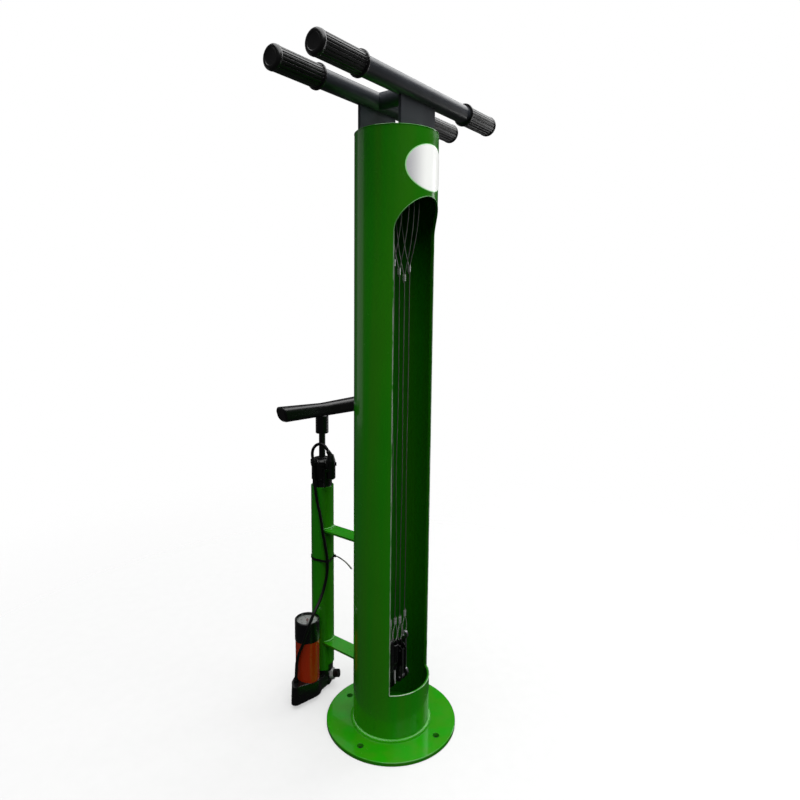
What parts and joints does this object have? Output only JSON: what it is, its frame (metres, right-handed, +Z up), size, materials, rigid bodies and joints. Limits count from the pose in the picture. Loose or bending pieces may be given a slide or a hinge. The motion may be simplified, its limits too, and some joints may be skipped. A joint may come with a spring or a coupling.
{
  "type": "bicycle repair station",
  "caption": "Bolt-down bicycle repair station: slotted round column with tools on steel ropes, twin hanging arms with grips, and a floor pump held in a sleeve behind",
  "frame": {"origin": "centre of the base flange's underside, on the column's axis", "axes": "+Z up along the column, the tool opening faces -Y, the hanging arms run along X, the pump stands behind at +Y; right-handed"},
  "size_m": [0.566, 0.3846, 1.3525],
  "materials": {
    "green_coat": "gloss powder coat",
    "dark_coat": "satin powder coat",
    "grip_rubber": "soft, slightly glossy",
    "bright_steel": "bright zinc plated",
    "rod_steel": "blackened, polished",
    "rope_steel": "stranded stainless wire",
    "key_steel": "blackened tool steel",
    "ferrule_metal": "pressed, plain",
    "chrome_tool": "satin chrome",
    "black_plastic": "moulded, semi gloss",
    "hose_rubber": "smooth",
    "orange_coat": "gloss enamel",
    "dial_white": "printed",
    "needle_red": "matt enamel",
    "lens_clear": "clear"
  },
  "bodies": {
    "station": {"base_flange": "green_coat", "base_weld": "green_coat", "column": "green_coat", "closing_plate": "green_coat", "front_post": "dark_coat", "rear_post": "dark_coat", "front_arm": "dark_coat", "rear_arm": "dark_coat", "arm_tie": "dark_coat", "front_left_grip": "grip_rubber", "front_right_grip": "grip_rubber", "rear_left_grip": "grip_rubber", "rear_right_grip": "grip_rubber", "rope_bar": "bright_steel", "upper_bracket": "green_coat", "lower_bracket": "green_coat", "pump_sleeve": "green_coat", "pump_barrel": "bright_steel", "pump_top_cap": "black_plastic", "rod_bush": "black_plastic", "hose_clip": "black_plastic", "pump_foot": "black_plastic", "air_canister": "orange_coat", "gauge_housing": "black_plastic", "gauge_dial": "dial_white", "gauge_lens": "lens_clear", "relief_valve": "bright_steel", "relief_cap": "black_plastic", "hose_nut": "black_plastic", "hose": "hose_rubber", "head_nut": "black_plastic", "pump_head": "black_plastic", "head_seal": "hose_rubber", "hose_tie": "black_plastic"},
    "plunger": {"pump_rod": "rod_steel", "piston": "black_plastic", "piston_seal": "hose_rubber"},
    "handle": {"pump_handle": "black_plastic"},
    "needle": {"gauge_needle": "needle_red"},
    "cam_lever": {"head_lever": "black_plastic"},
    "lever_tether": {"lever_rope": "rope_steel", "lever_ferrules": "ferrule_metal", "tyre_lever_a": "black_plastic", "tyre_lever_b": "black_plastic"},
    "driver_tether": {"driver_rope": "rope_steel", "driver_ferrules": "ferrule_metal", "driver_handle": "black_plastic", "driver_blade": "bright_steel"},
    "hex_tether": {"hex_rope": "rope_steel", "hex_ferrules": "ferrule_metal", "hex_holder": "black_plastic", "hex_keys": "key_steel", "hex_pins": "bright_steel"},
    "wrench_tether": {"wrench_rope": "rope_steel", "wrench_ferrules": "ferrule_metal", "wrench": "chrome_tool"}
  },
  "joints": [
    {"name": "pump_stroke", "type": "slide", "parent": "station", "child": "plunger", "axis": [0, 0, 1], "range_m": [-0.05, 0.39]},
    {"name": "handle_turn", "type": "hinge", "parent": "plunger", "child": "handle", "pos_m": [0, 0.2095, 0.625], "axis": [0, 0, 1], "range_deg": [-60, 75]},
    {"name": "needle_turn", "type": "hinge", "parent": "station", "child": "needle", "pos_m": [-0.058, 0.2045, 0.1865], "axis": [0, 0, -1], "range_deg": [0, 270]},
    {"name": "cam_lever_turn", "type": "hinge", "parent": "station", "child": "cam_lever", "pos_m": [-0.0236, 0.1786, 0.546], "axis": [0.342, 0.9397, 0], "range_deg": [0, 100]},
    {"name": "lever_tether_swing", "type": "hinge", "parent": "station", "child": "lever_tether", "pos_m": [-0.05, -0.034, 1.172], "axis": [-1, 0, 0], "range_deg": [-4, 7]},
    {"name": "driver_tether_swing", "type": "hinge", "parent": "station", "child": "driver_tether", "pos_m": [-0.033, -0.034, 1.172], "axis": [-1, 0, 0], "range_deg": [-4, 15]},
    {"name": "hex_tether_swing", "type": "hinge", "parent": "station", "child": "hex_tether", "pos_m": [-0.016, -0.034, 1.172], "axis": [-1, 0, 0], "range_deg": [-4, 15]},
    {"name": "wrench_tether_swing", "type": "hinge", "parent": "station", "child": "wrench_tether", "pos_m": [0.001, -0.034, 1.172], "axis": [-1, 0, 0], "range_deg": [-4, 15]}
  ]
}
